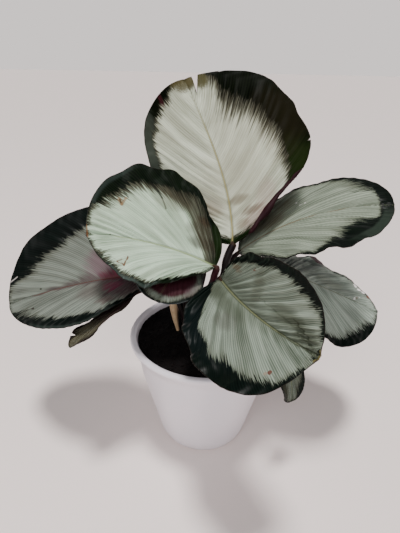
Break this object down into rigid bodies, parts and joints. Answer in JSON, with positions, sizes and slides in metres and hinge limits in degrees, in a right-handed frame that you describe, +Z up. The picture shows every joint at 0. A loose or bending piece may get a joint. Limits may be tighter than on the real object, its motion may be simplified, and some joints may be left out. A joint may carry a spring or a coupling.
{
  "type": "potted calathea plant",
  "caption": "House plant in a round tapered pot: broad oval leaves with fine veins and dark margins on thin stalks that rise from soil. It stands on its flat base.",
  "frame": {"origin": "centre of the pot's flat underside, where the pot stands", "axes": "+Z up along the pot's axis; the front leaf points towards -Y; +X to the right of someone who faces it, along the widest spread of the leaves"},
  "size_m": [0.3218, 0.2472, 0.3069],
  "materials": {
    "pot_white": "satin",
    "soil_black": "matte",
    "back_green": "satin",
    "left_upper_green": "satin",
    "left_lower_green": "satin",
    "right_upper_green": "satin",
    "right_lower_green": "satin",
    "front_green": "satin",
    "inner_small_green": "satin",
    "left_small_green": "satin",
    "right_small_green": "satin",
    "back_purple": "satin",
    "left_upper_purple": "satin",
    "left_lower_purple": "satin",
    "right_upper_purple": "satin",
    "right_lower_purple": "satin",
    "front_purple": "satin",
    "inner_small_purple": "satin",
    "left_small_purple": "satin",
    "right_small_purple": "satin",
    "sheath_tan": "matte"
  },
  "bodies": {
    "root": {"pot": "pot_white", "soil": "soil_black", "back_blade": "back_green", "left_upper_blade": "left_upper_green", "left_lower_blade": "left_lower_green", "right_upper_blade": "right_upper_green", "right_lower_blade": "right_lower_green", "front_blade": "front_green", "inner_small_blade": "inner_small_green", "left_small_blade": "left_small_green", "right_small_blade": "right_small_green", "back_stalk": "back_purple", "left_upper_stalk": "left_upper_purple", "left_lower_stalk": "left_lower_purple", "right_upper_stalk": "right_upper_purple", "right_lower_stalk": "right_lower_purple", "front_stalk": "front_purple", "inner_small_stalk": "inner_small_purple", "left_small_stalk": "left_small_purple", "right_small_stalk": "right_small_purple", "sheath": "sheath_tan"}
  },
  "joints": []
}
